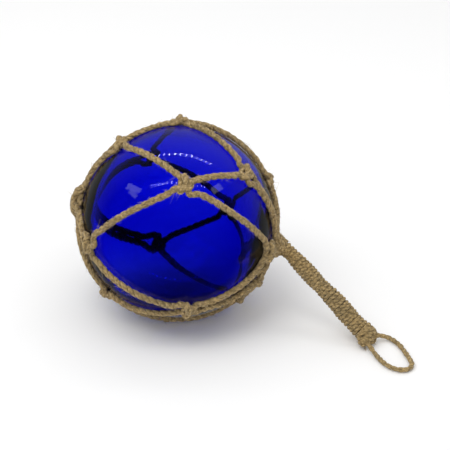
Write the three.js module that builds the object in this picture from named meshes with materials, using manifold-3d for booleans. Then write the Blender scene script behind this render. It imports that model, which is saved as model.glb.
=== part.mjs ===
// A glass float ball in a knotted jute net. The net's cords are gathered into a tail whipped with
// twine, and the tail ends in a knot with a hanging loop.
// Millimetres, +Z up. The ball lies on the small flat spot under it, whose middle is the origin.
// The tail leaves the ball along +X and droops, so that its end knot and loop lie on the ground.
import * as THREE from "three";
import { mergeVertices } from "three/addons/utils/BufferGeometryUtils.js";
import Module from "manifold-3d";

const wasm = await Module();
wasm.setup();

// Driving dimensions, in millimetres and degrees
const ballRadius = 50;
const flatSpotRadius = 5;
const gap = 0.3;            // left between solids that touch
const toolGrowth = 0.55;    // how much larger than a knot the coarse copy is that trims its cords
const cordWidth = 3.5;      // a net cord, pulled tight over the glass and a little flattened by it
const cordHeight = 2.9;
const cordSpacing = 4.8;    // between the middles of the two cords that go into a knot side by side
const twineDiameter = 2.3;  // the whipping on the tail
const loopDiameter = 2.5;   // the hanging loop's own twine
const tailDip = 9.8;        // the net's axis points this far below level where the tail leaves
const pairEndShare = 0.55;  // a doubled cord's width beside the pole knot and the neck, of its own
const neckHeight = 6;       // how far the gathered cords stand out from the glass
const tailRadii = [4.2, 3.8, 4.5, 4.5, 4.1, 4.7, 5.0, 4.9, 5.0];  // evenly spaced along the tail
const netKnotSize = { across: 12, along: 9, height: 7 };
const poleKnotSize = { across: 12, along: 12, height: 7.4 };
const endKnotSize = { across: 12, along: 9.5, height: 9 };
const knotSeat = 0.36;      // a net knot's middle is this share of its height over the glass
const cordSides = 8;
const loopSteps = 18;

const ballCentre = new THREE.Vector3(0, 0, Math.sqrt(ballRadius ** 2 - flatSpotRadius ** 2));
const rad = THREE.MathUtils.degToRad;
const tailAxis = new THREE.Vector3(Math.cos(rad(tailDip)), 0, -Math.sin(rad(tailDip)));
const upAcross = new THREE.Vector3(Math.sin(rad(tailDip)), 0, Math.cos(rad(tailDip)));
const backAcross = new THREE.Vector3(0, 1, 0);

// The hand-tied knots, each as [angle from the tail's axis, turn round it from the top towards +Y].
// Five pairs of cords leave the pole knot. Each row's knot ties a cord from each of its neighbours.
const poleKnot = [171, 287];
const knotRows = [
  [[133, -3], [121, 79], [105, 138], [121, 218], [137, 261]],
  [[101, 20], [63, 103], [40, 188], [69.5, 242.5], [85.5, 322]],
  [[54.5, -11], [40, 42], [27, 138], [24, 226], [15.5, 284]],
];
const rowLength = knotRows[0].length;

// The middle line of the tail, from inside the gathered cords to its end knot, by hand.
const tailRoute = [
  [53.2, 0, 40.9], [57.2, -0.7, 38.9], [64.9, -3.9, 33.1], [75.0, -8.6, 25.5],
  [84.7, -13.0, 18.8], [92.9, -15.8, 11.2], [99.9, -18.6, 5.8],
];
const endKnotCentre = new THREE.Vector3(102.2, -20.6, 4.9);

// The loop of twine, out of the end knot, round on the ground and back into it, by hand.
const loopRoute = [
  [102.6, -21.0, 4.6], [106.0, -18.6, 3.9], [109.9, -16.4, 2.6], [114.0, -16.6, 1.6],
  [118.2, -20.0, 1.3], [121.7, -25.8, 1.3], [124.6, -31.8, 1.3], [126.3, -36.6, 1.3],
  [125.0, -40.6, 1.3], [121.4, -42.2, 1.3], [117.4, -41.5, 1.3], [113.4, -38.9, 1.3],
  [109.6, -34.4, 1.4], [106.2, -29.8, 2.2], [103.4, -26.2, 3.5], [101.6, -23.6, 4.6],
];

const glass = new THREE.MeshStandardMaterial({ color: 0x0a1fc0, roughness: 0.05, metalness: 0 });
const jute = new THREE.MeshStandardMaterial({ color: 0xb09669, roughness: 0.95, metalness: 0 });
const part = new THREE.Group();

function addPiece(name, geometry, material) {
  const mesh = new THREE.Mesh(geometry, material);
  mesh.name = name;
  part.add(mesh);
}

function solidOf(geometry) {
  const bare = geometry.clone();
  bare.deleteAttribute("normal");
  bare.deleteAttribute("uv");
  const merged = mergeVertices(bare, 1e-3);
  return new wasm.Manifold(new wasm.Mesh({
    numProp: 3,
    vertProperties: new Float32Array(merged.attributes.position.array),
    triVerts: new Uint32Array(merged.index.array),
  }));
}

// The geometry with each of the tools cut away from it.
function trimmed(geometry, tools) {
  let solid = solidOf(geometry);
  for (const tool of tools) solid = solid.subtract(solidOf(tool));
  const mesh = solid.getMesh();
  const result = new THREE.BufferGeometry();
  result.setAttribute("position", new THREE.BufferAttribute(mesh.vertProperties, 3));
  result.setIndex(new THREE.BufferAttribute(mesh.triVerts, 1));
  return result;
}

// Moves every vertex of a geometry to where place(vertex) puts it.
function reshaped(geometry, place) {
  const positions = geometry.attributes.position;
  const vertex = new THREE.Vector3();
  for (let i = 0; i < positions.count; i += 1) {
    place(vertex.fromBufferAttribute(positions, i));
    positions.setXYZ(i, vertex.x, vertex.y, vertex.z);
  }
  return geometry;
}

// The direction from the ball's centre at an angle from the tail's axis and a turn round it.
function directionOf([angle, turn]) {
  const outward = upAcross.clone().multiplyScalar(Math.cos(rad(turn)));
  outward.addScaledVector(backAcross, Math.sin(rad(turn)));
  return outward.multiplyScalar(Math.sin(rad(angle))).addScaledVector(tailAxis, Math.cos(rad(angle)));
}

// The place on one side of a knot, towards greater (1) or lesser (-1) turns, where a cord goes in.
function besideKnot([angle, turn], side) {
  const shift = cordSpacing / 2 / (ballRadius * Math.sin(rad(angle)));
  return [angle, turn + side * THREE.MathUtils.radToDeg(shift)];
}

// The outline of cords lying side by side on the glass: one cord, or a doubled pair.
function cordOutline(count) {
  const points = [];
  for (const end of count === 1 ? [0] : [1, -1]) {
    for (let i = 0; i < cordSides; i += 1) {
      const turn = ((i + 0.5) / cordSides) * 2 * Math.PI;
      const x = Math.cos(turn) * (cordWidth / 2);
      if (end * x < 0) continue;
      points.push(new THREE.Vector2(x + (end * cordWidth) / 2, Math.sin(turn) * (cordHeight / 2)));
    }
  }
  if (count === 2) {
    points.push(new THREE.Vector2(0, cordHeight / 4), new THREE.Vector2(0, -cordHeight / 4));
    points.sort((a, b) => Math.atan2(a.y, a.x) - Math.atan2(b.y, b.x));
  }
  return new THREE.Shape(points.map((point) => point.add(new THREE.Vector2(0, cordHeight / 2))));
}

// Cords running over the glass from one knot's place to another's, in steps of a few degrees.
// A pair draws together to endShare of its width where it goes in among its neighbours.
function cordOverGlass(from, to, count, endShare = 1) {
  const stepAngle = rad(11);
  const start = directionOf(from);
  const end = directionOf(to);
  const side = start.clone().cross(end).normalize();
  const angle = start.angleTo(end);
  const steps = Math.ceil(angle / stepAngle);
  const extrusion = { depth: 1, steps, bevelEnabled: false };
  const straight = new THREE.ExtrudeGeometry(cordOutline(count), extrusion);
  return reshaped(straight, (vertex) => {
    const { x, y, z } = vertex;
    vertex.copy(start).applyAxisAngle(side, z * angle).multiplyScalar(ballRadius + gap + y);
    vertex.addScaledVector(side, x * THREE.MathUtils.lerp(1, endShare, z)).add(ballCentre);
  });
}

// A pulled-tight knot: a rounded lump with a corner towards each of its four cords.
function knotLump(size, centre, across, along, up, grow) {
  const cords = 4;
  const cornerShare = 0.1;
  const around = 10;
  const rows = 7;
  const coarse = new THREE.IcosahedronGeometry(1, 1);
  const round = grow > 0 ? coarse : new THREE.SphereGeometry(1, around, rows);
  return reshaped(round, (vertex) => {
    const level = 1 - vertex.z ** 2;
    const corner = 1 - cornerShare * level * Math.cos(cords * Math.atan2(vertex.y, vertex.x));
    const { x, y, z } = vertex;
    vertex.copy(centre);
    vertex.addScaledVector(across, x * corner * (size.across / 2 + grow));
    vertex.addScaledVector(along, y * corner * (size.along / 2 + grow));
    vertex.addScaledVector(up, z * (size.height / 2 + grow));
  });
}

// A knot of the net, sitting on the glass. It is longest across the run from pole to tail.
function netKnot(place, size, grow = 0) {
  const up = directionOf(place);
  const across = up.clone().cross(tailAxis).normalize();
  const along = up.clone().cross(across);
  const centre = ballCentre.clone().addScaledVector(up, ballRadius + size.height * knotSeat);
  const lump = knotLump(size, centre, across, along, up, grow);
  if (grow > 0) return lump;
  return reshaped(lump, (vertex) => {
    vertex.sub(ballCentre);
    vertex.setLength(Math.max(vertex.length(), ballRadius + gap)).add(ballCentre);
  });
}

// A round cord along a curve, whose radius at each share of its length is radiusAt(share).
function roundCord(curve, steps, radiusAt) {
  const circle = Array.from({ length: cordSides }, (_, i) => {
    const turn = (i / cordSides) * 2 * Math.PI;
    return new THREE.Vector2(Math.cos(turn), Math.sin(turn));
  });
  const frames = curve.computeFrenetFrames(steps, false);
  const extrusion = { depth: 1, steps, bevelEnabled: false };
  const straight = new THREE.ExtrudeGeometry(new THREE.Shape(circle), extrusion);
  return reshaped(straight, (vertex) => {
    const { x, y, z } = vertex;
    const ring = Math.round(z * steps);
    const radius = radiusAt(z);
    vertex.copy(curve.getPointAt(z));
    vertex.addScaledVector(frames.normals[ring], x * radius);
    vertex.addScaledVector(frames.binormals[ring], y * radius);
  });
}

function curveThrough(points) {
  return new THREE.CatmullRomCurve3(points.map((point) => new THREE.Vector3(...point)));
}

// The ball: solid here, turned round the upright axis, with the flat spot it lies on.
function ballGeometry() {
  const rows = 15;
  const around = 32;
  const flatAngle = Math.asin(flatSpotRadius / ballRadius);
  const profile = [new THREE.Vector2(0, -ballCentre.z)];
  for (let i = 0; i <= rows; i += 1) {
    const angle = THREE.MathUtils.lerp(flatAngle, Math.PI, i / rows);
    const x = i === rows ? 0 : Math.sin(angle) * ballRadius;
    profile.push(new THREE.Vector2(x, -Math.cos(angle) * ballRadius));
  }
  const turned = new THREE.LatheGeometry(profile, around);
  return turned.rotateX(Math.PI / 2).translate(0, 0, ballCentre.z);
}

// The cords drawn together between the glass and the tail, fluted where they lie side by side.
function neckGeometry(grow = 0) {
  const baseRadius = 6.6;
  const topRadius = 5.2;
  const cords = 2 * rowLength;
  const fluteDepth = 0.35;
  const rows = 4;
  const profile = [new THREE.Vector2(0, ballRadius + gap)];
  const foot = Math.sqrt((ballRadius + gap) ** 2 - baseRadius ** 2);
  const top = ballRadius + neckHeight + grow;
  for (let i = 0; i <= rows; i += 1) {
    const share = i / rows;
    const radius = THREE.MathUtils.lerp(baseRadius, topRadius, Math.sin((share * Math.PI) / 2));
    profile.push(new THREE.Vector2(radius + grow, THREE.MathUtils.lerp(foot, top, share)));
  }
  profile.push(new THREE.Vector2(0, top));
  const turned = new THREE.LatheGeometry(profile, 2 * cords);
  return reshaped(turned, (vertex) => {
    const { x, y, z } = vertex;
    const flute = Math.hypot(x, z) === 0 ? 0 : fluteDepth * Math.cos(cords * Math.atan2(z, x));
    const radius = Math.max(Math.hypot(x, z), 1e-9);
    vertex.copy(ballCentre).addScaledVector(tailAxis, y);
    vertex.addScaledVector(backAcross, x * (1 + flute / radius));
    vertex.addScaledVector(upAcross, -z * (1 + flute / radius));
  });
}

// The tail: net cords whipped all the way with twine, a little lumpy and thicker at its end.
function tailGeometry(grow = 0) {
  const curve = curveThrough(tailRoute);
  const turns = Math.round(curve.getLength() / twineDiameter);
  const ridge = 0.16;
  return roundCord(curve, 2 * turns, (share) => {
    const place = share * (tailRadii.length - 1);
    const before = Math.min(Math.floor(place), tailRadii.length - 2);
    const radius = THREE.MathUtils.lerp(tailRadii[before], tailRadii[before + 1], place - before);
    return radius + ridge * Math.cos(share * turns * 2 * Math.PI) + grow;
  });
}

function endKnotGeometry(grow = 0) {
  const along = new THREE.Vector3(...tailRoute.at(-1)).sub(new THREE.Vector3(...tailRoute.at(-2)));
  along.setZ(0).normalize();
  const up = new THREE.Vector3(0, 0, 1);
  const across = along.clone().cross(up);
  return knotLump(endKnotSize, endKnotCentre, across, along, up, grow);
}

addPiece("glass_ball", ballGeometry(), glass);

const poleTool = netKnot(poleKnot, poleKnotSize, toolGrowth);
const knotTools = knotRows.map((row) => row.map((place) => netKnot(place, netKnotSize, toolGrowth)));

addPiece("net_pole_knot", netKnot(poleKnot, poleKnotSize), jute);
knotRows.forEach((row, r) => row.forEach((place, k) => {
  addPiece(`net_knot_row${r + 1}_${k + 1}`, netKnot(place, netKnotSize), jute);
}));

for (let k = 0; k < rowLength; k += 1) {
  const next = (k + 1) % rowLength;
  const [top, middle, bottom] = knotRows;
  const fromPole = cordOverGlass(top[k], poleKnot, 2, pairEndShare);
  addPiece(`net_cord_pair_pole_${k + 1}`, trimmed(fromPole, [poleTool, knotTools[0][k]]), jute);
  for (const [letter, above, side] of [["a", k, 1], ["b", next, -1]]) {
    const upper = cordOverGlass(besideKnot(top[above], side), besideKnot(middle[k], -side), 1);
    addPiece(`net_cord_row1_row2_${k + 1}${letter}`,
      trimmed(upper, [knotTools[0][above], knotTools[1][k]]), jute);
  }
  for (const [letter, below, side] of [["a", k, -1], ["b", next, 1]]) {
    const lower = cordOverGlass(besideKnot(middle[k], side), besideKnot(bottom[below], -side), 1);
    addPiece(`net_cord_row2_row3_${k + 1}${letter}`,
      trimmed(lower, [knotTools[1][k], knotTools[2][below]]), jute);
  }
  const toNeck = cordOverGlass(bottom[k], [0, 0], 2, pairEndShare);
  addPiece(`net_cord_pair_neck_${k + 1}`, trimmed(toNeck, [knotTools[2][k], neckGeometry(gap)]), jute);
}

addPiece("net_neck", trimmed(neckGeometry(), [tailGeometry(gap)]), jute);
addPiece("whipped_tail", tailGeometry(), jute);
addPiece("tail_end_knot", trimmed(endKnotGeometry(), [tailGeometry(gap)]), jute);
const loop = roundCord(curveThrough(loopRoute), loopSteps, () => loopDiameter / 2);
addPiece("hanging_loop", trimmed(loop, [endKnotGeometry(toolGrowth)]), jute);

export default part;
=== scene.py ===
import math
import random

import bpy
import numpy as np
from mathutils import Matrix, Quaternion, Vector


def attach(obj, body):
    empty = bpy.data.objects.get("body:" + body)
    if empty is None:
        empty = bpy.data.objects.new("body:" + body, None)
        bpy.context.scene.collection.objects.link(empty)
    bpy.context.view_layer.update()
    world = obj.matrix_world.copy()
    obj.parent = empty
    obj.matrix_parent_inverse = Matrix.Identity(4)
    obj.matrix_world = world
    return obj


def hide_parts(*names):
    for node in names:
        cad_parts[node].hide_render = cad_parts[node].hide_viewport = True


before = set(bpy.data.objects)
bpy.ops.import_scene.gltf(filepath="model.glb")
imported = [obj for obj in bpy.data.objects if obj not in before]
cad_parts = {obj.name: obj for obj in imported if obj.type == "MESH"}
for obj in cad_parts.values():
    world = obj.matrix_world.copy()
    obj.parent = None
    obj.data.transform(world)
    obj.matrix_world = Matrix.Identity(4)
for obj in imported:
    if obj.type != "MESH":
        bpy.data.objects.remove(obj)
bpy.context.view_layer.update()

# A cobalt glass float in a knotted jute net, with a whipped tail and a hanging loop. Lengths are
# in millimetres until a mesh is made. The ball, the knots' places and the routes repeat the CAD's
# own; a net cord is drawn 0.1 mm thinner than its CAD solid.
MM = 0.001
BALL_RADIUS = 50.0
FLAT_SPOT_RADIUS = 5.0
CORD_WIDTH = 3.4
TWINE_WIDTH = 2.3
LOOP_WIDTH = 2.5
CORD_LIFT = 1.3          # height of a cord's middle over the glass
KNOT_SINK = 0.35         # the cords in a knot are pressed together by this much
PAIR_OFFSET = 1.7        # half the spacing of the two strands of a doubled cord
KNOT_CLEARANCE = 8.0     # a cord leaves its knot's own route this far from the knot's middle
POLE_GAP = 8.5           # a doubled cord's own end route begins this far from the pole knot
NECK_KNOT_GAP = 7.6      # the same two distances for the doubled cords that go to the neck
NECK_GAP = 7.0
CORNER = 1.5             # sideways offset of a cord at a knot's corner
PLY_OFFSET = 0.175       # a ply's middle from its cord's middle, as a share of the cord's width
PLY_RADIUS = 0.325
RIPPLE = 0.03            # how uneven a ply's surface is, as a share of its radius
TAIL_DIP = math.radians(9.8)
TAIL_RADII = (4.2, 3.8, 4.5, 4.5, 4.1, 4.7, 5.0, 4.9, 5.0)

BALL_CENTRE = np.array([0.0, 0.0, math.sqrt(BALL_RADIUS**2 - FLAT_SPOT_RADIUS**2)])
TAIL_AXIS = np.array([math.cos(TAIL_DIP), 0.0, -math.sin(TAIL_DIP)])
UP_ACROSS = np.array([math.sin(TAIL_DIP), 0.0, math.cos(TAIL_DIP)])
BACK_ACROSS = np.array([0.0, 1.0, 0.0])

# Each knot's place: its angle from the tail's axis and its turn round it, in degrees.
POLE_KNOT = (171, 287)
KNOT_ROWS = (
    ((133, -3), (121, 79), (105, 138), (121, 218), (137, 261)),
    ((101, 20), (63, 103), (40, 188), (69.5, 242.5), (85.5, 322)),
    ((54.5, -11), (40, 42), (27, 138), (24, 226), (15.5, 284)),
)
ROW_LENGTH = 5

TAIL_ROUTE = (
    (53.2, 0, 40.9), (57.2, -0.7, 38.9), (64.9, -3.9, 33.1), (75.0, -8.6, 25.5),
    (84.7, -13.0, 18.8), (92.9, -15.8, 11.2), (99.9, -18.6, 5.8),
)
END_KNOT_CENTRE = (102.2, -20.6, 4.9)
LOOP_ROUTE = (
    (102.6, -21.0, 4.6), (106.0, -18.6, 3.9), (109.9, -16.4, 2.6), (114.0, -16.6, 1.6),
    (118.2, -20.0, 1.3), (121.7, -25.8, 1.3), (124.6, -31.8, 1.3), (126.3, -36.6, 1.3),
    (125.0, -40.6, 1.3), (121.4, -42.2, 1.3), (117.4, -41.5, 1.3), (113.4, -38.9, 1.3),
    (109.6, -34.4, 1.4), (106.2, -29.8, 2.2), (103.4, -26.2, 3.5), (101.6, -23.6, 4.6),
)

# ---------------------------------------------------------------- camera
CAMERA_AZIMUTH = math.radians(10.5)
CAMERA_ELEVATION = math.radians(30)
CAMERA_DISTANCE = 0.7
LOOK_RIGHT = 0.02435     # the picture's middle lies this far right of the ball's middle, in metres
LOOK_DOWN = 0.00207
LENS = 108.1
SENSOR_WIDTH = 36

sin_a, cos_a = math.sin(CAMERA_AZIMUTH), math.cos(CAMERA_AZIMUTH)
sin_e, cos_e = math.sin(CAMERA_ELEVATION), math.cos(CAMERA_ELEVATION)
view_back = np.array([sin_a * cos_e, -cos_a * cos_e, sin_e])
view_right = np.array([cos_a, sin_a, 0.0])
view_up = np.cross(view_back, view_right)
camera_data = bpy.data.cameras.new("camera")
camera_data.lens = LENS
camera_data.sensor_width = SENSOR_WIDTH
camera_data.clip_end = 20
camera = bpy.data.objects.new("camera", camera_data)
bpy.context.scene.collection.objects.link(camera)
camera.location = (BALL_CENTRE * MM + LOOK_RIGHT * view_right - LOOK_DOWN * view_up
                   + CAMERA_DISTANCE * view_back)
camera.rotation_euler = (math.pi / 2 - CAMERA_ELEVATION, 0, CAMERA_AZIMUTH)
bpy.context.scene.camera = camera


# ---------------------------------------------------------------- curves
def unit(vector):
    return vector / np.linalg.norm(vector)


def smooth_route(points, step, closed=False):
    """Points a step apart along a smooth curve through the given points."""
    points = np.asarray(points, float)
    count = len(points)
    if closed:
        padded = np.vstack([points[-1:], points, points[:2]])
        spans = count
    else:
        before, after = 2 * points[0] - points[1], 2 * points[-1] - points[-2]
        padded = np.vstack([before, points, after])
        spans = count - 1
    fine = []
    for i in range(spans):
        p0, p1, p2, p3 = padded[i:i + 4]
        t0 = 0.0
        t1 = t0 + np.linalg.norm(p1 - p0) ** 0.5
        t2 = t1 + np.linalg.norm(p2 - p1) ** 0.5
        t3 = t2 + np.linalg.norm(p3 - p2) ** 0.5
        t = np.linspace(t1, t2, 24, endpoint=False)[:, None]
        a1 = (t1 - t) / (t1 - t0) * p0 + (t - t0) / (t1 - t0) * p1
        a2 = (t2 - t) / (t2 - t1) * p1 + (t - t1) / (t2 - t1) * p2
        a3 = (t3 - t) / (t3 - t2) * p2 + (t - t2) / (t3 - t2) * p3
        b1 = (t2 - t) / (t2 - t0) * a1 + (t - t0) / (t2 - t0) * a2
        b2 = (t3 - t) / (t3 - t1) * a2 + (t - t1) / (t3 - t1) * a3
        fine.append((t2 - t) / (t2 - t1) * b1 + (t - t1) / (t2 - t1) * b2)
    fine.append(points[:1] if closed else points[-1:])
    fine = np.vstack(fine)
    gone = np.concatenate([[0], np.cumsum(np.linalg.norm(np.diff(fine, axis=0), axis=1))])
    steps = max(2, round(gone[-1] / step))
    at = np.linspace(0, gone[-1], steps + 1)
    return np.stack([np.interp(at, gone, fine[:, axis]) for axis in range(3)], axis=1)


def length_of(points):
    return float(np.linalg.norm(np.diff(points, axis=0), axis=1).sum())


def tangents_of(points, closed=False):
    if closed:
        ring = points[:-1]
        along = np.roll(ring, -1, axis=0) - np.roll(ring, 1, axis=0)
        along = np.vstack([along, along[:1]])
    else:
        along = np.gradient(points, axis=0)
    return along / np.linalg.norm(along, axis=1)[:, None]


def carried_normals(points, along, closed=False):
    """A direction across the curve at each point, which turns no more than the curve makes it."""
    start = np.cross(along[0], [0.31, 0.47, 0.83])
    normals = [unit(start)]
    for i in range(len(points) - 1):
        step = points[i + 1] - points[i]
        size = step @ step
        mirrored = normals[i] - 2 / size * (step @ normals[i]) * step
        turned = along[i] - 2 / size * (step @ along[i]) * step
        rest = along[i + 1] - turned
        again = rest @ rest
        if again > 1e-12:
            mirrored = mirrored - 2 / again * (rest @ mirrored) * rest
        normals.append(unit(mirrored))
    normals = np.array(normals)
    if closed:
        side = np.cross(along[0], normals[0])
        slip = math.atan2(normals[-1] @ side, normals[-1] @ normals[0])
        turn = -slip * np.linspace(0, 1, len(points))[:, None]
        others = np.cross(along, normals)
        normals = np.cos(turn) * normals + np.sin(turn) * others
    return normals


# ---------------------------------------------------------------- meshes
class MeshParts:
    """Gathers vertices, quads, texture coordinates and painted crease shade values for one piece."""

    def __init__(self):
        self.vertices, self.faces, self.coords, self.crease_shades = [], [], [], []
        self.total = 0

    def add_rings(self, rings, along_mm, crease_shades, capped=True):
        """rings: (count, sides, 3). Joins them as a tube, with a texture coordinate in mm."""
        count, sides, _ = rings.shape
        base = self.total
        self.vertices.append(rings.reshape(-1, 3))
        self.crease_shades.append(crease_shades.reshape(-1))
        self.total += count * sides
        i = np.arange(count - 1)[:, None]
        j = np.arange(sides)[None, :]
        k = (j + 1) % sides
        quads = np.stack([base + i * sides + j, base + i * sides + k,
                          base + (i + 1) * sides + k, base + (i + 1) * sides + j], axis=-1)
        self.faces.extend(quads.reshape(-1, 4).tolist())
        u0 = along_mm[:-1][:, None] + 0 * j
        u1 = along_mm[1:][:, None] + 0 * j
        v0 = (j / sides) + 0 * i
        v1 = ((j + 1) / sides) + 0 * i
        coords = np.stack([np.stack([u0, v0], -1), np.stack([u0, v1], -1),
                           np.stack([u1, v1], -1), np.stack([u1, v0], -1)], axis=2)
        self.coords.append(coords.reshape(-1, 2))
        if capped:
            for ring, flip in ((0, True), (count - 1, False)):
                cap = [base + ring * sides + s for s in range(sides)]
                self.faces.append(cap[::-1] if flip else cap)
                self.coords.append(np.tile([along_mm[ring], 0.0], (sides, 1)))

    def piece(self, name, material):
        mesh = bpy.data.meshes.new(name)
        vertices = np.vstack(self.vertices) * MM
        mesh.from_pydata(vertices.tolist(), [], self.faces)
        layer = mesh.uv_layers.new(name="lay")
        layer.data.foreach_set("uv", np.vstack(self.coords).astype(np.float32).ravel())
        # Painted shade: where this value is low, the jute material darkens the colour to its crease
        # shade colour.
        crease_shade = mesh.attributes.new("crease_shade", "FLOAT", "POINT")
        crease_shade.data.foreach_set("value", np.concatenate(self.crease_shades).astype(np.float32))
        mesh.polygons.foreach_set("use_smooth", [True] * len(mesh.polygons))
        mesh.materials.append(material)
        mesh.update()
        obj = bpy.data.objects.new(name, mesh)
        bpy.context.scene.collection.objects.link(obj)
        return obj


def off_the_glass(points, clearance):
    """Points nearer the ball's middle than the clearance over its surface are moved out to it."""
    out = points - BALL_CENTRE
    size = np.linalg.norm(out, axis=-1, keepdims=True)
    least = BALL_RADIUS + clearance
    return np.where(size < least, BALL_CENTRE + out / np.maximum(size, 1e-9) * least, points)


def above_floor(points, clearance):
    points = points.copy()
    points[..., 2] = np.maximum(points[..., 2], clearance)
    return points


def add_laid_cord(parts, route, width, seed, closed=False, step=0.45, sides=12, lay=2.35,
                  fibres=None, round_ball=True):
    """Two twisted plies laid round each other along a route, the way jute twine is made."""
    draw = np.random.RandomState(seed)
    points = smooth_route(route, step, closed)
    along = tangents_of(points, closed)
    normals = carried_normals(points, along, closed)
    others = np.cross(along, normals)
    total = length_of(points)
    turns = total / (lay * width)
    if closed:
        turns = round(turns)
    share = np.linspace(0, 1, len(points))
    waves = np.arange(1, 6)
    wander = np.zeros(len(points))
    if not closed:
        wander = sum(draw.uniform(-0.5, 0.5) * np.sin(2 * math.pi * share * w + draw.uniform(0, 6))
                     for w in waves)
    phase0 = draw.uniform(0, 2 * math.pi)
    bulk_waves = [(draw.uniform(0.05, 0.6), draw.uniform(0, 6.28), draw.uniform(0.3, 1))
                  for _ in range(7)]
    at = share * total
    bulk = 1 + 0.028 * sum(size * np.sin(2 * math.pi * at * rate * 0.3 + shift)
                           for rate, shift, size in bulk_waves)
    around = np.arange(sides) / sides * 2 * math.pi
    for ply in (0, 1):
        phase = phase0 + math.pi * ply + 2 * math.pi * turns * share + wander
        out = np.cos(phase)[:, None] * normals + np.sin(phase)[:, None] * others
        middle = points + out * (width * PLY_OFFSET * bulk)[:, None]
        run = tangents_of(middle, closed)
        x = out - (out * run).sum(1)[:, None] * run
        x /= np.linalg.norm(x, axis=1)[:, None]
        y = np.cross(run, x)
        shape = 1 + 0.13 * np.abs(np.sin(around)) ** 2 - 0.10 * (np.cos(around) < -0.3)
        strand_waves = [(draw.uniform(1.0, 4.6), draw.uniform(0, 6.28), draw.randint(1, 6))
                        for _ in range(5)]
        ripple = sum(np.sin(at[:, None] * rate + shift + count * around[None, :])
                     for rate, shift, count in strand_waves)
        radius = width * PLY_RADIUS * bulk[:, None] * shape[None, :] * (1 + RIPPLE * ripple)
        if closed:
            radius[-1] = radius[0]
        rings = (middle[:, None, :] + radius[..., None]
                 * (np.cos(around)[None, :, None] * x[:, None, :]
                    + np.sin(around)[None, :, None] * y[:, None, :]))
        if round_ball:
            rings = off_the_glass(rings, 0.05)
        rings = above_floor(rings, 0.05)
        # Painted shade: the side of each ply that faces the other ply, in the groove between them, is
        # marked to be darkened.
        crease_shade = np.broadcast_to(0.5 + 0.5 * np.cos(around)[None, :], radius.shape)
        parts.add_rings(rings, at + 400 * ply + seed * 37 % 1000, crease_shade, capped=not closed)
    if fibres is not None:
        fibres.append((points, along, normals, width * 0.5))
    return points


# ---------------------------------------------------------------- places on the ball
def direction_of(place):
    angle, turn = math.radians(place[0]), math.radians(place[1])
    radial = math.cos(turn) * UP_ACROSS + math.sin(turn) * BACK_ACROSS
    return math.cos(angle) * TAIL_AXIS + math.sin(angle) * radial


def knot_axes(place):
    """Outwards, the way of increasing turn, and the way to the tail."""
    angle, turn = math.radians(place[0]), math.radians(place[1])
    radial = math.cos(turn) * UP_ACROSS + math.sin(turn) * BACK_ACROSS
    out = direction_of(place)
    across = -math.sin(turn) * UP_ACROSS + math.cos(turn) * BACK_ACROSS
    to_tail = math.sin(angle) * TAIL_AXIS - math.cos(angle) * radial
    return out, across, to_tail


def on_ball(axes, x, y, z):
    """A point x and y away over the glass from the middle of the axes, and z above it."""
    out, across, to_tail = axes
    flat = x * across + y * to_tail
    reach = np.linalg.norm(flat)
    if reach < 1e-6:
        return BALL_CENTRE + (BALL_RADIUS + z) * out
    bend = reach / BALL_RADIUS
    way = math.cos(bend) * out + math.sin(bend) * flat / reach
    return BALL_CENTRE + (BALL_RADIUS + z) * way


# The two routes of a netting knot, a sheet bend: the first is the bight, whose arms leave
# away from the tail, the second goes up through it, round behind its legs and under itself.
BIGHT = (
    (-3.9, -4.2, 1.7), (-2.7, -1.6, 2.2), (-2.1, 1.2, 2.8), (-1.1, 2.6, 3.0), (0.2, 3.0, 3.1),
    (1.3, 2.5, 3.0), (2.1, 1.0, 2.8), (2.7, -1.6, 2.2), (3.9, -4.2, 1.7),
)
WORKED = (
    (-3.9, 4.2, 1.7), (-2.2, 2.6, 1.5), (-0.9, 1.3, 2.4), (0.3, 0.5, 4.1), (2.0, -0.4, 4.4),
    (3.6, -0.9, 3.6), (4.1, -1.4, 2.1), (2.7, -1.9, 1.3), (0, -2.1, 1.2), (-2.7, -1.8, 1.3),
    (-4.2, -1.3, 2.1), (-3.8, -0.5, 3.5), (-2.0, 0.2, 3.7), (0.2, 0.9, 3.2), (2.2, 2.3, 2.5),
    (3.9, 4.2, 1.8),
)


def knot_points(place, shape, draw):
    """The knot's route on the ball, a little turned and pulled, as hand-tied ones are."""
    axes = knot_axes(place)
    tilt = draw["tilt"]
    cos_t, sin_t = math.cos(tilt), math.sin(tilt)
    size = draw["size"]
    points = []
    for x, y, z in shape:
        x, y = x * size, y * size
        points.append(on_ball(axes, cos_t * x - sin_t * y, sin_t * x + cos_t * y,
                              z * size - KNOT_SINK))
    return points


def span_points(start, end, start_offset, end_offset, start_gap, end_gap, seed):
    """Points over the glass from one place to the next, along the shortest way.

    The offsets are sideways, towards increasing turn at each end; the gaps are left free.
    """
    a, b = direction_of(start), direction_of(end)
    wide = math.acos(max(-1, min(1, float(a @ b))))
    side = unit(np.cross(a, b))
    start_offset *= 1 if side @ knot_axes(start)[1] > 0 else -1
    end_offset *= 1 if side @ knot_axes(end)[1] > 0 else -1
    first, last = start_gap / BALL_RADIUS / wide, 1 - end_gap / BALL_RADIUS / wide
    draw = np.random.RandomState(seed)
    if last - first < 0.12:
        middle = (first + last) / 2
        first, last = middle - 0.06, middle + 0.06
    count = max(2, round((last - first) * wide * BALL_RADIUS / 7))
    points = []
    for share in np.linspace(first, last, count):
        way = (math.sin((1 - share) * wide) * a + math.sin(share * wide) * b) / math.sin(wide)
        offset = start_offset + (end_offset - start_offset) * share + draw.uniform(-0.22, 0.22)
        points.append(BALL_CENTRE + (BALL_RADIUS + CORD_LIFT + draw.uniform(-0.05, 0.15))
                      * unit(way + side * offset / BALL_RADIUS))
    return points


rolls = random.Random(11)
knot_draws = [[{"tilt": rolls.uniform(-0.16, 0.16), "size": rolls.uniform(0.88, 0.97)}
               for _ in range(ROW_LENGTH)] for _ in range(3)]

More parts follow.
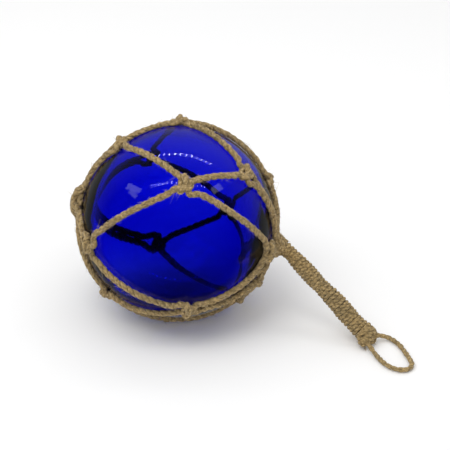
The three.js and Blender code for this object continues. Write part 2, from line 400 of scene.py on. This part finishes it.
fibre_runs = {"net": [], "tail": [], "loop": []}
pole_parts, upper_parts, lower_parts, neck_parts = (MeshParts() for _ in range(4))

# The cord that zigzags between rows one and two, then the one between rows two and three.
for parts, row, seed in ((upper_parts, 0, 21), (lower_parts, 1, 22)):
    ring = []
    for k in range(ROW_LENGTH):
        # Row one's knot k and its next neighbour share row two's knot k; one row on, row
        # two's knot k sends its cords to row three's knots k and k + 1.
        top = k
        low = k if row == 0 else (k + 1) % ROW_LENGTH
        after = (k + 1) % ROW_LENGTH
        start, middle, end = KNOT_ROWS[row][top], KNOT_ROWS[row + 1][low], KNOT_ROWS[row][after]
        ring += knot_points(start, WORKED, knot_draws[row][top])
        ring += span_points(start, middle, CORNER, -CORNER, KNOT_CLEARANCE, KNOT_CLEARANCE,
                            seed + 10 * k)
        ring += knot_points(middle, BIGHT, knot_draws[row + 1][low])
        ring += span_points(middle, end, CORNER, -CORNER, KNOT_CLEARANCE, KNOT_CLEARANCE,
                            seed + 10 * k + 5)
    add_laid_cord(parts, ring, CORD_WIDTH, seed, closed=True, fibres=fibre_runs["net"])

# The doubled cords: from the pole knot through row one's bights, and from row three to the neck.
pole_axes = knot_axes(POLE_KNOT)


def pole_end(place, offset):
    """Over the ring in the middle of the far end and down inside it."""
    a = unit(direction_of(POLE_KNOT))
    b = direction_of(place)
    flat = b - (b @ a) * a
    flat = unit(flat)
    side = np.cross(a, flat)
    side *= 1 if side @ knot_axes(place)[1] > 0 else -1
    points = []
    for reach, z, spread in ((6.6, 2.6, 0.9), (4.6, 4.1, 0.62), (2.4, 3.9, 0.34), (0.9, 2.0, 0.1)):
        points.append(BALL_CENTRE + (BALL_RADIUS + z)
                      * unit(a + (flat * reach + side * offset * spread) / BALL_RADIUS))
    return points


for k in range(ROW_LENGTH):
    place = KNOT_ROWS[0][k]
    route = pole_end(place, -PAIR_OFFSET)[::-1]
    route += span_points(place, POLE_KNOT, -PAIR_OFFSET, PAIR_OFFSET, KNOT_CLEARANCE,
                         POLE_GAP, 50 + k)[::-1]
    route += knot_points(place, BIGHT, knot_draws[0][k])
    route += span_points(place, POLE_KNOT, PAIR_OFFSET, -PAIR_OFFSET, KNOT_CLEARANCE, POLE_GAP,
                         60 + k)
    route += pole_end(place, PAIR_OFFSET)
    add_laid_cord(pole_parts, route, CORD_WIDTH, 30 + k, fibres=fibre_runs["net"])

ring_route = [on_ball(pole_axes, 3.9 * math.cos(t), 3.9 * math.sin(t), 1.5)
              for t in np.linspace(0, 2 * math.pi, 14, endpoint=False)]
add_laid_cord(pole_parts, ring_route, CORD_WIDTH, 40, closed=True)
cap_route = [on_ball(pole_axes, r * math.cos(t), r * math.sin(t), z) for t, r, z in
             zip(np.linspace(0, 3.4 * math.pi, 18), np.linspace(3.1, 1.1, 18),
                 np.linspace(4.6, 5.2, 18))]
add_laid_cord(pole_parts, [on_ball(pole_axes, 3.4, -1.6, 4.0)] + cap_route
              + [on_ball(pole_axes, 0, 0, 4.5)], CORD_WIDTH * 0.86, 41, fibres=fibre_runs["net"])


def neck_end(place, offset):
    """Off the glass where the tail begins, and on inside its whipping."""
    b = direction_of(place)
    flat = unit(b - (b @ TAIL_AXIS) * TAIL_AXIS)
    side = np.cross(TAIL_AXIS, flat)
    side *= 1 if side @ knot_axes(place)[1] > 0 else -1
    points = []
    for reach, out, spread in ((5.0, 52.2, 0.8), (3.6, 54.4, 0.55), (2.4, 57.0, 0.4)):
        points.append(BALL_CENTRE + TAIL_AXIS * out + flat * reach + side * offset * spread)
    return points


TAIL_PLACE = (0.01, 0)
for k in range(ROW_LENGTH):
    place = KNOT_ROWS[2][k]
    route = neck_end(place, -PAIR_OFFSET)[::-1]
    route += span_points(place, TAIL_PLACE, -PAIR_OFFSET, PAIR_OFFSET, NECK_KNOT_GAP, NECK_GAP,
                         70 + k)[::-1]
    route += knot_points(place, WORKED, knot_draws[2][k])
    route += span_points(place, TAIL_PLACE, PAIR_OFFSET, -PAIR_OFFSET, NECK_KNOT_GAP, NECK_GAP,
                         80 + k)
    route += neck_end(place, PAIR_OFFSET)
    add_laid_cord(neck_parts, route, CORD_WIDTH, 90 + k, fibres=fibre_runs["net"])

# ---------------------------------------------------------------- the whipped tail
tail_line = smooth_route(TAIL_ROUTE, 0.5)
tail_along = tangents_of(tail_line)
tail_normals = carried_normals(tail_line, tail_along)
tail_others = np.cross(tail_along, tail_normals)
tail_length = length_of(tail_line)
WRAP_PITCH = 2.05
WRAP_SLANT = -0.5


def tail_frame(at):
    """The middle of the tail and two directions across it, at a distance along it."""
    place = np.clip(at / tail_length, 0, 1) * (len(tail_line) - 1)
    low = min(int(place), len(tail_line) - 2)
    part = place - low

    def between(table):
        return table[low] * (1 - part) + table[low + 1] * part

    return (between(tail_line), unit(between(tail_normals)), unit(between(tail_others)),
            unit(between(tail_along)))


def tail_radius(at):
    return float(np.interp(at / tail_length, np.linspace(0, 1, len(TAIL_RADII)), TAIL_RADII))


wrap_draw = random.Random(5)
whip_parts = MeshParts()
whip_route = []
turn_count = (tail_length + 1.0) / WRAP_PITCH
slips = [wrap_draw.uniform(-0.16, 0.16) for _ in range(40)]
rises = [wrap_draw.uniform(-0.08, 0.16) for _ in range(40)]
for i in range(int(turn_count * 16) + 1):
    turn = i / 16
    whole = int(turn)
    part = turn - whole
    mix = 0.5 - 0.5 * math.cos(part * math.pi)
    slip = slips[whole] * (1 - mix) + slips[whole + 1] * mix
    rise = rises[whole] * (1 - mix) + rises[whole + 1] * mix
    angle = 2 * math.pi * turn
    at = turn * WRAP_PITCH - 0.2 + slip + WRAP_SLANT * math.sin(angle + 0.4)
    middle, x, y, run = tail_frame(at)
    overrun = min(0.0, at) + max(0.0, at - tail_length)
    reach = tail_radius(min(max(at, 0), tail_length)) - TWINE_WIDTH / 2 + rise
    whip_route.append(middle + run * overrun + reach * (math.cos(angle) * x + math.sin(angle) * y))
add_laid_cord(whip_parts, whip_route, TWINE_WIDTH * 1.06, 3, step=0.42, sides=10, lay=2.1,
              fibres=fibre_runs["tail"], round_ball=True)

# The strands inside the whipping, hidden but for the gaps between its turns.
core_parts = MeshParts()
for strand in range(5):
    angle = 2 * math.pi * strand / 5
    route = []
    for at in np.linspace(-1.5, tail_length, 12):
        middle, x, y, run = tail_frame(at)
        route.append(middle + run * min(0.0, at)
                     + 1.7 * (math.cos(angle + at * 0.02) * x + math.sin(angle + at * 0.02) * y))
    add_laid_cord(core_parts, route, CORD_WIDTH * 1.1, 120 + strand, step=1.0, sides=8)

# The turn that begins the whipping, round the gathered cords against the glass.
neck_turn = []
for t in np.linspace(0, 2.4 * math.pi, 26):
    reach = 5.3 - 0.25 * t / math.pi
    out = 52.8 + 0.5 * t / math.pi + 1.3 * math.sin(t + 1.2)
    neck_turn.append(BALL_CENTRE + TAIL_AXIS * out
                     + reach * (math.cos(t + 2.0) * UP_ACROSS + math.sin(t + 2.0) * BACK_ACROSS))
add_laid_cord(whip_parts, neck_turn, TWINE_WIDTH * 1.1, 4, step=0.42, sides=10, lay=2.1,
              fibres=fibre_runs["tail"])

# ---------------------------------------------------------------- the knot at the tail's end
end_centre = np.array(END_KNOT_CENTRE)
end_along = unit(np.array(TAIL_ROUTE[-1]) - np.array(TAIL_ROUTE[-2]))
end_up = unit(np.array([0, 0, 1.0]) - end_along[2] * end_along)
end_across = np.cross(end_along, end_up)


def by_end_knot(x, y, z):
    return end_centre + x * end_across + y * end_along + z * end_up


knot_parts = MeshParts()
knot_loop = []
for t in np.linspace(0, 2 * math.pi, 36, endpoint=False):
    reach = 3.1 + 1.2 * math.cos(3 * t)
    knot_loop.append(by_end_knot(reach * math.cos(2 * t) * 1.1, reach * math.sin(2 * t),
                                 2.1 * math.sin(3 * t) + 0.2))
add_laid_cord(knot_parts, knot_loop, TWINE_WIDTH * 1.3, 6, closed=True, step=0.4, sides=10,
              lay=2.1, fibres=fibre_runs["tail"], round_ball=False)
# The last turns of the whipping cross over the knot's neck.
BAND_TURNS = 2.6
for band, lean in ((0, 0.9), (1, -0.8)):
    route = []
    for t in np.linspace(0, BAND_TURNS * math.pi, 24):
        route.append(by_end_knot(4.3 * math.cos(t + band), -3.2 + 0.45 * t + lean * math.sin(t),
                                 4.0 * math.sin(t + band) + 0.2))
    add_laid_cord(knot_parts, route, TWINE_WIDTH * 1.1, 7 + 40 * band, step=0.4, sides=10,
                  lay=2.1, fibres=fibre_runs["tail"], round_ball=False)
# The stopper at its side: a small ball of the same twine.
STOPPER = (4.9, 0.9, -0.9)
stopper = []
for t in np.linspace(0, 5.2 * math.pi, 34):
    rise = math.cos(t / 5.2)
    ring = math.sqrt(max(0.0, 1 - rise**2))
    stopper.append(by_end_knot(STOPPER[0] + 1.6 * ring * math.cos(t), STOPPER[1] - 1.7 * rise,
                               STOPPER[2] + 1.6 * ring * math.sin(t)))
add_laid_cord(knot_parts, stopper, TWINE_WIDTH * 0.95, 8, step=0.4, sides=10, lay=2.1,
              fibres=fibre_runs["tail"], round_ball=False)

loop_parts = MeshParts()
loop_points = add_laid_cord(loop_parts, LOOP_ROUTE, LOOP_WIDTH, 9, step=0.35, sides=12, lay=2.5,
                            fibres=fibre_runs["loop"], round_ball=False)


# ---------------------------------------------------------------- loose fibres
HAIR_CREASE_SHADE = 1.15       # a hair lies in no crease, so the painted crease shade doesn't darken it


def add_hair(parts, line, way, radii, along_hair):
    """One three-sided hair through the points of a line that ends in the given direction."""
    x = unit(np.cross(way, [0.3, 0.5, 0.81]))
    y = np.cross(way, x)
    corners = np.array([math.cos(a) * x + math.sin(a) * y for a in (0, 2.094, 4.189)])
    rings = line[:, None, :] + radii[:, None, None] * corners[None, :, :]
    parts.add_rings(rings, along_hair, np.full((len(line), 3), HAIR_CREASE_SHADE), capped=False)


def add_fibres(parts, runs, per_mm, seed, reach, thick):
    """Fine hairs that stand off the cords: most short, a few long and curled."""
    draw = np.random.RandomState(seed)
    for points, along, normals, radius in runs:
        others = np.cross(along, normals)
        count = int(length_of(points) * per_mm)
        for _ in range(count):
            i = draw.randint(1, len(points) - 1)
            angle = draw.uniform(0, 2 * math.pi)
            out = math.cos(angle) * normals[i] + math.sin(angle) * others[i]
            side = np.cross(along[i], out)
            size = reach * (0.35 + draw.exponential(0.5))
            size = min(size, reach * 3.2)
            lean = along[i] * draw.choice([-1, 1]) * draw.uniform(0.5, 2.0)
            way = unit(out * draw.uniform(0.15, 1.0) + lean + side * draw.uniform(-0.7, 0.7))
            curl = unit(draw.normal(size=3)) * draw.uniform(0.2, 1.1)
            steps = 4 if size > reach else 3
            line = [points[i] + out * radius * 0.8]
            for s in range(steps):
                line.append(line[-1] + way * size / steps)
                way = unit(way + curl / steps)
            line = above_floor(off_the_glass(np.array(line), 0.15), 0.1)
            taper = np.linspace(1, 0.3, steps + 1) * thick * draw.uniform(0.7, 1.3)
            along_hair = np.linspace(0, size, steps + 1) + draw.uniform(0, 900)
            add_hair(parts, line, way, taper, along_hair)


net_fibres, tail_fibres = MeshParts(), MeshParts()
add_fibres(net_fibres, fibre_runs["net"], 3.0, 300, 2.0, 0.085)
add_fibres(tail_fibres, fibre_runs["tail"], 1.6, 301, 0.9, 0.04)
add_fibres(tail_fibres, fibre_runs["loop"], 2.0, 302, 0.9, 0.04)

# Two tiny frayed ends at the end knot.
tuft_draw = np.random.RandomState(77)
TUFT_RADIUS = 0.05
for x, y, z in ((4.9, 3.4, -2.2), (-0.6, 4.8, -1.6)):
    for _ in range(16):
        way = unit(end_along * 0.9 - end_up * 0.5 + end_across * (0.5 if x > 2 else -0.1)
                   + tuft_draw.normal(size=3) * 0.35)
        start = by_end_knot(x, y, z) + tuft_draw.normal(size=3) * 0.25
        line = above_floor(np.array([start + way * s for s in (0, 0.9, 1.8, 2.6)]), 0.1)
        add_hair(tail_fibres, line, way, np.array([1, 0.9, 0.7, 0.3]) * TUFT_RADIUS,
                 np.linspace(0, 2.6, 4))


# ---------------------------------------------------------------- materials
def new_material(name):
    material = bpy.data.materials.new(name)
    material.use_nodes = True
    nodes = material.node_tree.nodes
    nodes.clear()
    output = nodes.new("ShaderNodeOutputMaterial")
    shader = nodes.new("ShaderNodeBsdfPrincipled")
    material.node_tree.links.new(shader.outputs[0], output.inputs["Surface"])
    return material, nodes, material.node_tree.links, shader, output


def ramp(nodes, stops):
    node = nodes.new("ShaderNodeValToRGB")
    ramp_points = node.color_ramp.elements
    while len(ramp_points) < len(stops):
        ramp_points.new(0.5)
    for element, (at, colour) in zip(ramp_points, stops):
        element.position = at
        element.color = (*colour, 1)
    return node


def mixed(nodes, links, kind, factor, a, b):
    node = nodes.new("ShaderNodeMix")
    node.data_type = "RGBA"
    node.blend_type = kind
    for socket, value in ((node.inputs[0], factor), (node.inputs[6], a), (node.inputs[7], b)):
        if isinstance(value, bpy.types.NodeSocket):
            links.new(value, socket)
        else:
            socket.default_value = value if isinstance(value, float) else (*value, 1)
    return node.outputs[2]


def jute(name, dark, middle, light, crease_shade_colour, bump_size):
    """Laid jute: streaks that run round each ply, yellower and greyer stretches, and painted shade in
    the creases between plies.
    """
    material, nodes, links, shader, _ = new_material(name)
    uv = nodes.new("ShaderNodeUVMap")
    uv.uv_map = "lay"
    streak_map = nodes.new("ShaderNodeMapping")
    streak_map.inputs["Scale"].default_value = (0.55, 9.0, 1)
    streak_map.inputs["Rotation"].default_value = (0, 0, 0.09)
    links.new(uv.outputs[0], streak_map.inputs[0])
    streaks = nodes.new("ShaderNodeTexNoise")
    streaks.inputs["Scale"].default_value = 1.7
    streaks.inputs["Detail"].default_value = 5
    streaks.inputs["Roughness"].default_value = 0.62
    links.new(streak_map.outputs[0], streaks.inputs["Vector"])
    place = nodes.new("ShaderNodeTexCoord")
    patches = nodes.new("ShaderNodeTexNoise")
    patches.inputs["Scale"].default_value = 95
    patches.inputs["Detail"].default_value = 3
    links.new(place.outputs["Object"], patches.inputs["Vector"])
    specks = nodes.new("ShaderNodeTexNoise")
    specks.inputs["Scale"].default_value = 850
    specks.inputs["Detail"].default_value = 4
    links.new(place.outputs["Object"], specks.inputs["Vector"])
    base = ramp(nodes, ((0.25, dark), (0.5, middle), (0.74, light)))
    links.new(streaks.outputs["Fac"], base.inputs[0])
    tint = ramp(nodes, ((0.3, (0.82, 0.84, 0.88)), (0.55, (1, 1, 1)), (0.8, (1.0, 0.93, 0.8))))
    links.new(patches.outputs["Fac"], tint.inputs[0])
    coloured = mixed(nodes, links, "MULTIPLY", 0.8, base.outputs[0], tint.outputs[0])
    grain = ramp(nodes, ((0.36, (0.5, 0.49, 0.47)), (0.64, (1.3, 1.28, 1.24))))
    links.new(specks.outputs["Fac"], grain.inputs[0])
    coloured = mixed(nodes, links, "MULTIPLY", 0.9, coloured, grain.outputs[0])
    # Painted shade: the colour is darkened towards the crease shade colour on the side of each ply
    # that faces the other, in the groove.
    crease_shade = nodes.new("ShaderNodeAttribute")
    crease_shade.attribute_name = "crease_shade"
    crease_shade_ramp = ramp(nodes, ((0.0, (0, 0, 0)), (0.55, (1, 1, 1))))
    links.new(crease_shade.outputs["Fac"], crease_shade_ramp.inputs[0])
    final = mixed(nodes, links, "MIX", crease_shade_ramp.outputs[0], crease_shade_colour, coloured)
    links.new(final, shader.inputs["Base Color"])
    shader.inputs["Roughness"].default_value = 0.88
    shader.inputs["Specular IOR Level"].default_value = 0.25
    shader.inputs["Sheen Weight"].default_value = 0.25
    shader.inputs["Sheen Roughness"].default_value = 0.5
    shader.inputs["Sheen Tint"].default_value = (0.9, 0.82, 0.66, 1)
    height = nodes.new("ShaderNodeMath")
    height.operation = "MULTIPLY_ADD"
    links.new(specks.outputs["Fac"], height.inputs[0])
    height.inputs[1].default_value = 0.4
    links.new(streaks.outputs["Fac"], height.inputs[2])
    bump = nodes.new("ShaderNodeBump")
    bump.inputs["Strength"].default_value = 0.8
    bump.inputs["Distance"].default_value = bump_size
    links.new(height.outputs[0], bump.inputs["Height"])
    links.new(bump.outputs[0], shader.inputs["Normal"])
    return material


# The fourth colour of each jute is the painted shade in the creases between plies.
cord_material = jute("jute_net_cord", (0.11, 0.068, 0.024), (0.36, 0.255, 0.115),
                     (0.72, 0.56, 0.31), (0.05, 0.03, 0.011), 0.0006)
twine_material = jute("jute_twine", (0.12, 0.075, 0.027), (0.36, 0.255, 0.112),
                      (0.70, 0.54, 0.29), (0.05, 0.03, 0.011), 0.0004)
fibre_material = jute("jute_fibres", (0.34, 0.26, 0.15), (0.52, 0.42, 0.27),
                      (0.74, 0.64, 0.46), (0.34, 0.26, 0.15), 0.0001)

glass_material, nodes, links, shader, output = new_material("cobalt_glass")
shader.inputs["Base Color"].default_value = (1, 1, 1, 1)
shader.inputs["Roughness"].default_value = 0.0
shader.inputs["IOR"].default_value = 1.5
shader.inputs["Transmission Weight"].default_value = 1.0
absorb = nodes.new("ShaderNodeVolumeAbsorption")
absorb.inputs["Color"].default_value = (0.0, 0.12, 0.915, 1)
absorb.inputs["Density"].default_value = 1150
links.new(absorb.outputs[0], output.inputs["Volume"])

# ---------------------------------------------------------------- the glass ball
WALL = 2.6
SEAL_EXTRA = 3.0         # the glass is thicker at the tail's end, where the float is sealed
FAR_EXTRA = 1.2          # and a little thicker at the opposite end
THICK_REACH = 0.62       # the thick glass at each end reaches this far round, in radians
ROWS, AROUND = 96, 128


def hand_blown(way):
    """How far the glass stands off a true sphere, in mm, at a direction."""
    x, y, z = way
    return 0.10 * math.sin(3.1 * x + 1.3) * math.sin(4.3 * y + 0.7) \
        + 0.07 * math.sin(7.1 * z + 2.0 * x) + 0.05 * math.sin(9.0 * y - 6.0 * z)


def grid_index(first, row, a):
    """The number of a vertex in a ball whose two ends have a single vertex each."""
    if row == 0:
        return first
    if row == ROWS:
        return first + 1 + (ROWS - 1) * AROUND
    return first + 1 + (row - 1) * AROUND + a % AROUND


ball_vertices, ball_faces = [], []
for inner in (False, True):
    first = len(ball_vertices)
    for row in range(ROWS + 1):
        angle = math.pi * row / ROWS
        for a in range(AROUND):
            if row in (0, ROWS) and a:
                continue
            turn = 2 * math.pi * a / AROUND
            radial = math.cos(turn) * UP_ACROSS + math.sin(turn) * BACK_ACROSS
            way = math.cos(angle) * TAIL_AXIS + math.sin(angle) * radial
            if inner:
                wall = (WALL + SEAL_EXTRA * math.exp(-(angle / THICK_REACH) ** 2)
                        + FAR_EXTRA * math.exp(-((math.pi - angle) / THICK_REACH) ** 2)
                        + 0.5 * math.sin(2.0 * way[1] + 3.0 * way[2] + 1)
                        + 1.6 * hand_blown(way))
                point = BALL_CENTRE + way * (BALL_RADIUS - wall)
            else:
                point = BALL_CENTRE + way * (BALL_RADIUS + 0.35 * hand_blown(way))
                point[2] = max(point[2], 0.0)
            ball_vertices.append(point * MM)

    for row in range(ROWS):
        for a in range(AROUND):
            corners = [grid_index(first, r, c) for r, c in
                       ((row, a), (row + 1, a), (row + 1, a + 1), (row, a + 1))]
            corners = list(dict.fromkeys(corners))
            ball_faces.append(corners if inner else corners[::-1])
ball_mesh = bpy.data.meshes.new("glass_shell")
ball_mesh.from_pydata([tuple(v) for v in ball_vertices], [], ball_faces)
ball_mesh.polygons.foreach_set("use_smooth", [True] * len(ball_mesh.polygons))
ball_mesh.materials.append(glass_material)
ball_mesh.update()
glass = bpy.data.objects.new("glass_shell", ball_mesh)
bpy.context.scene.collection.objects.link(glass)
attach(glass, "root")
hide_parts("glass_ball")

# ---------------------------------------------------------------- pieces on the frame
cords_12 = [f"net_cord_row1_row2_{k}{ab}" for k in range(1, 6) for ab in "ab"]
cords_23 = [f"net_cord_row2_row3_{k}{ab}" for k in range(1, 6) for ab in "ab"]
row_knots = [[f"net_knot_row{r}_{k}" for k in range(1, 6)] for r in (1, 2, 3)]
pole_pairs = [f"net_cord_pair_pole_{k}" for k in range(1, 6)]
neck_pairs = [f"net_cord_pair_neck_{k}" for k in range(1, 6)]
for parts, name, material, slot, replaced in (
    (pole_parts, "net_pole_strands", cord_material, "net_cord", pole_pairs + ["net_pole_knot"]),
    (upper_parts, "net_upper_cord", cord_material, "net_cord", cords_12 + row_knots[0]),
    (lower_parts, "net_lower_cord", cord_material, "net_cord", cords_23 + row_knots[1]),
    (neck_parts, "net_neck_strands", cord_material, "net_cord",
     neck_pairs + row_knots[2] + ["net_neck"]),
    (whip_parts, "tail_whipping", twine_material, "twine", ["whipped_tail"]),
    (core_parts, "tail_core", twine_material, "twine", []),
    (knot_parts, "end_knot", twine_material, "twine", ["tail_end_knot"]),
    (loop_parts, "loop_twine", twine_material, "twine", ["hanging_loop"]),
    (net_fibres, "net_loose_fibres", fibre_material, "net_cord", []),
    (tail_fibres, "tail_loose_fibres", fibre_material, "twine", []),
):
    piece = parts.piece(name, material)
    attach(piece, "root")
    if replaced:
        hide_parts(*replaced)

# ---------------------------------------------------------------- floor, light, world
scene = bpy.context.scene
scene.view_settings.view_transform = "Standard"

floor_mesh = bpy.data.meshes.new("floor")
FLOOR = 3.0
floor_mesh.from_pydata([(-FLOOR, -FLOOR, 0), (FLOOR, -FLOOR, 0), (FLOOR, FLOOR, 0),
                        (-FLOOR, FLOOR, 0)], [], [(0, 1, 2, 3)])
floor = bpy.data.objects.new("floor", floor_mesh)
scene.collection.objects.link(floor)
floor.location.z = -0.0002
floor_material, nodes, links, shader, _ = new_material("floor_paper")
shader.inputs["Base Color"].default_value = (0.93, 0.93, 0.93, 1)
shader.inputs["Roughness"].default_value = 0.9
shader.inputs["Specular IOR Level"].default_value = 0.1
floor_mesh.materials.append(floor_material)

# A pale room for the eye and for soft light; in reflections it is dim, and palest behind the ball.
world = bpy.data.worlds.new("studio")
world.use_nodes = True
nodes, links = world.node_tree.nodes, world.node_tree.links
pale = nodes["Background"]
pale.inputs["Color"].default_value = (1, 1, 1, 1)
pale.inputs["Strength"].default_value = 0.8
dim = nodes.new("ShaderNodeBackground")
place = nodes.new("ShaderNodeTexCoord")
axes = nodes.new("ShaderNodeSeparateXYZ")
links.new(place.outputs["Generated"], axes.inputs[0])
fade = nodes.new("ShaderNodeMapRange")
fade.inputs["From Min"].default_value = -0.1
fade.inputs["From Max"].default_value = 1.0
fade.inputs["To Min"].default_value = 0.015
fade.inputs["To Max"].default_value = 0.32
links.new(axes.outputs["Y"], fade.inputs["Value"])
links.new(fade.outputs[0], dim.inputs["Color"])
chooser = nodes.new("ShaderNodeMixShader")
path = nodes.new("ShaderNodeLightPath")
links.new(path.outputs["Is Glossy Ray"], chooser.inputs[0])
links.new(pale.outputs[0], chooser.inputs[1])
links.new(dim.outputs[0], chooser.inputs[2])
links.new(chooser.outputs[0], nodes["World Output"].inputs["Surface"])
scene.world = world
floor.visible_glossy = False


def soft_light(name, place, size, radiance, roll=0.0, in_gloss=True):
    """A rectangular lamp that faces the ball; radiance is in watts per square metre per steradian."""
    data = bpy.data.lights.new(name, "AREA")
    data.shape = "RECTANGLE"
    data.size, data.size_y = size
    data.energy = radiance * math.pi * size[0] * size[1]
    lamp = bpy.data.objects.new(name, data)
    scene.collection.objects.link(lamp)
    lamp.location = place
    aim = Vector(BALL_CENTRE * MM) - Vector(place)
    lamp.rotation_euler = (aim.to_track_quat("-Z", "Y") @ Quaternion((0, 0, 1), roll)).to_euler()
    lamp.visible_glossy = in_gloss
    return lamp


soft_light("overhead", (-0.35, -0.5, 1.3), (1.0, 1.0), 2.2, in_gloss=False)
soft_light("left_panel", (-0.83, -0.28, 0.88), (0.42, 0.12), 1.3, roll=0.5)
soft_light("left_panel_low", (-0.80, -0.38, 0.80), (0.26, 0.10), 1.1, roll=0.2)
soft_light("right_panel", (0.83, -0.02, 0.91), (0.3, 0.15), 1.2, roll=-0.3)

# Two rows of small lamps overhead that face straight down; the glass mirrors them as dashes.
for row, count, start, end, radiance in (
    ("back", 12, (-0.240, 0.172, 0.56), (0.266, 0.222, 0.56), 22),
    ("front", 14, (-0.238, -0.213, 0.575), (0.337, -0.099, 0.575), 9),
):
    for lamp in range(count):
        share = lamp / (count - 1)
        place = np.array(start) * (1 - share) + np.array(end) * share
        soft_light(f"{row}_lamp_{lamp + 1}", tuple(place), (0.009, 0.034),
                   radiance).rotation_euler = (0, 0, 0)
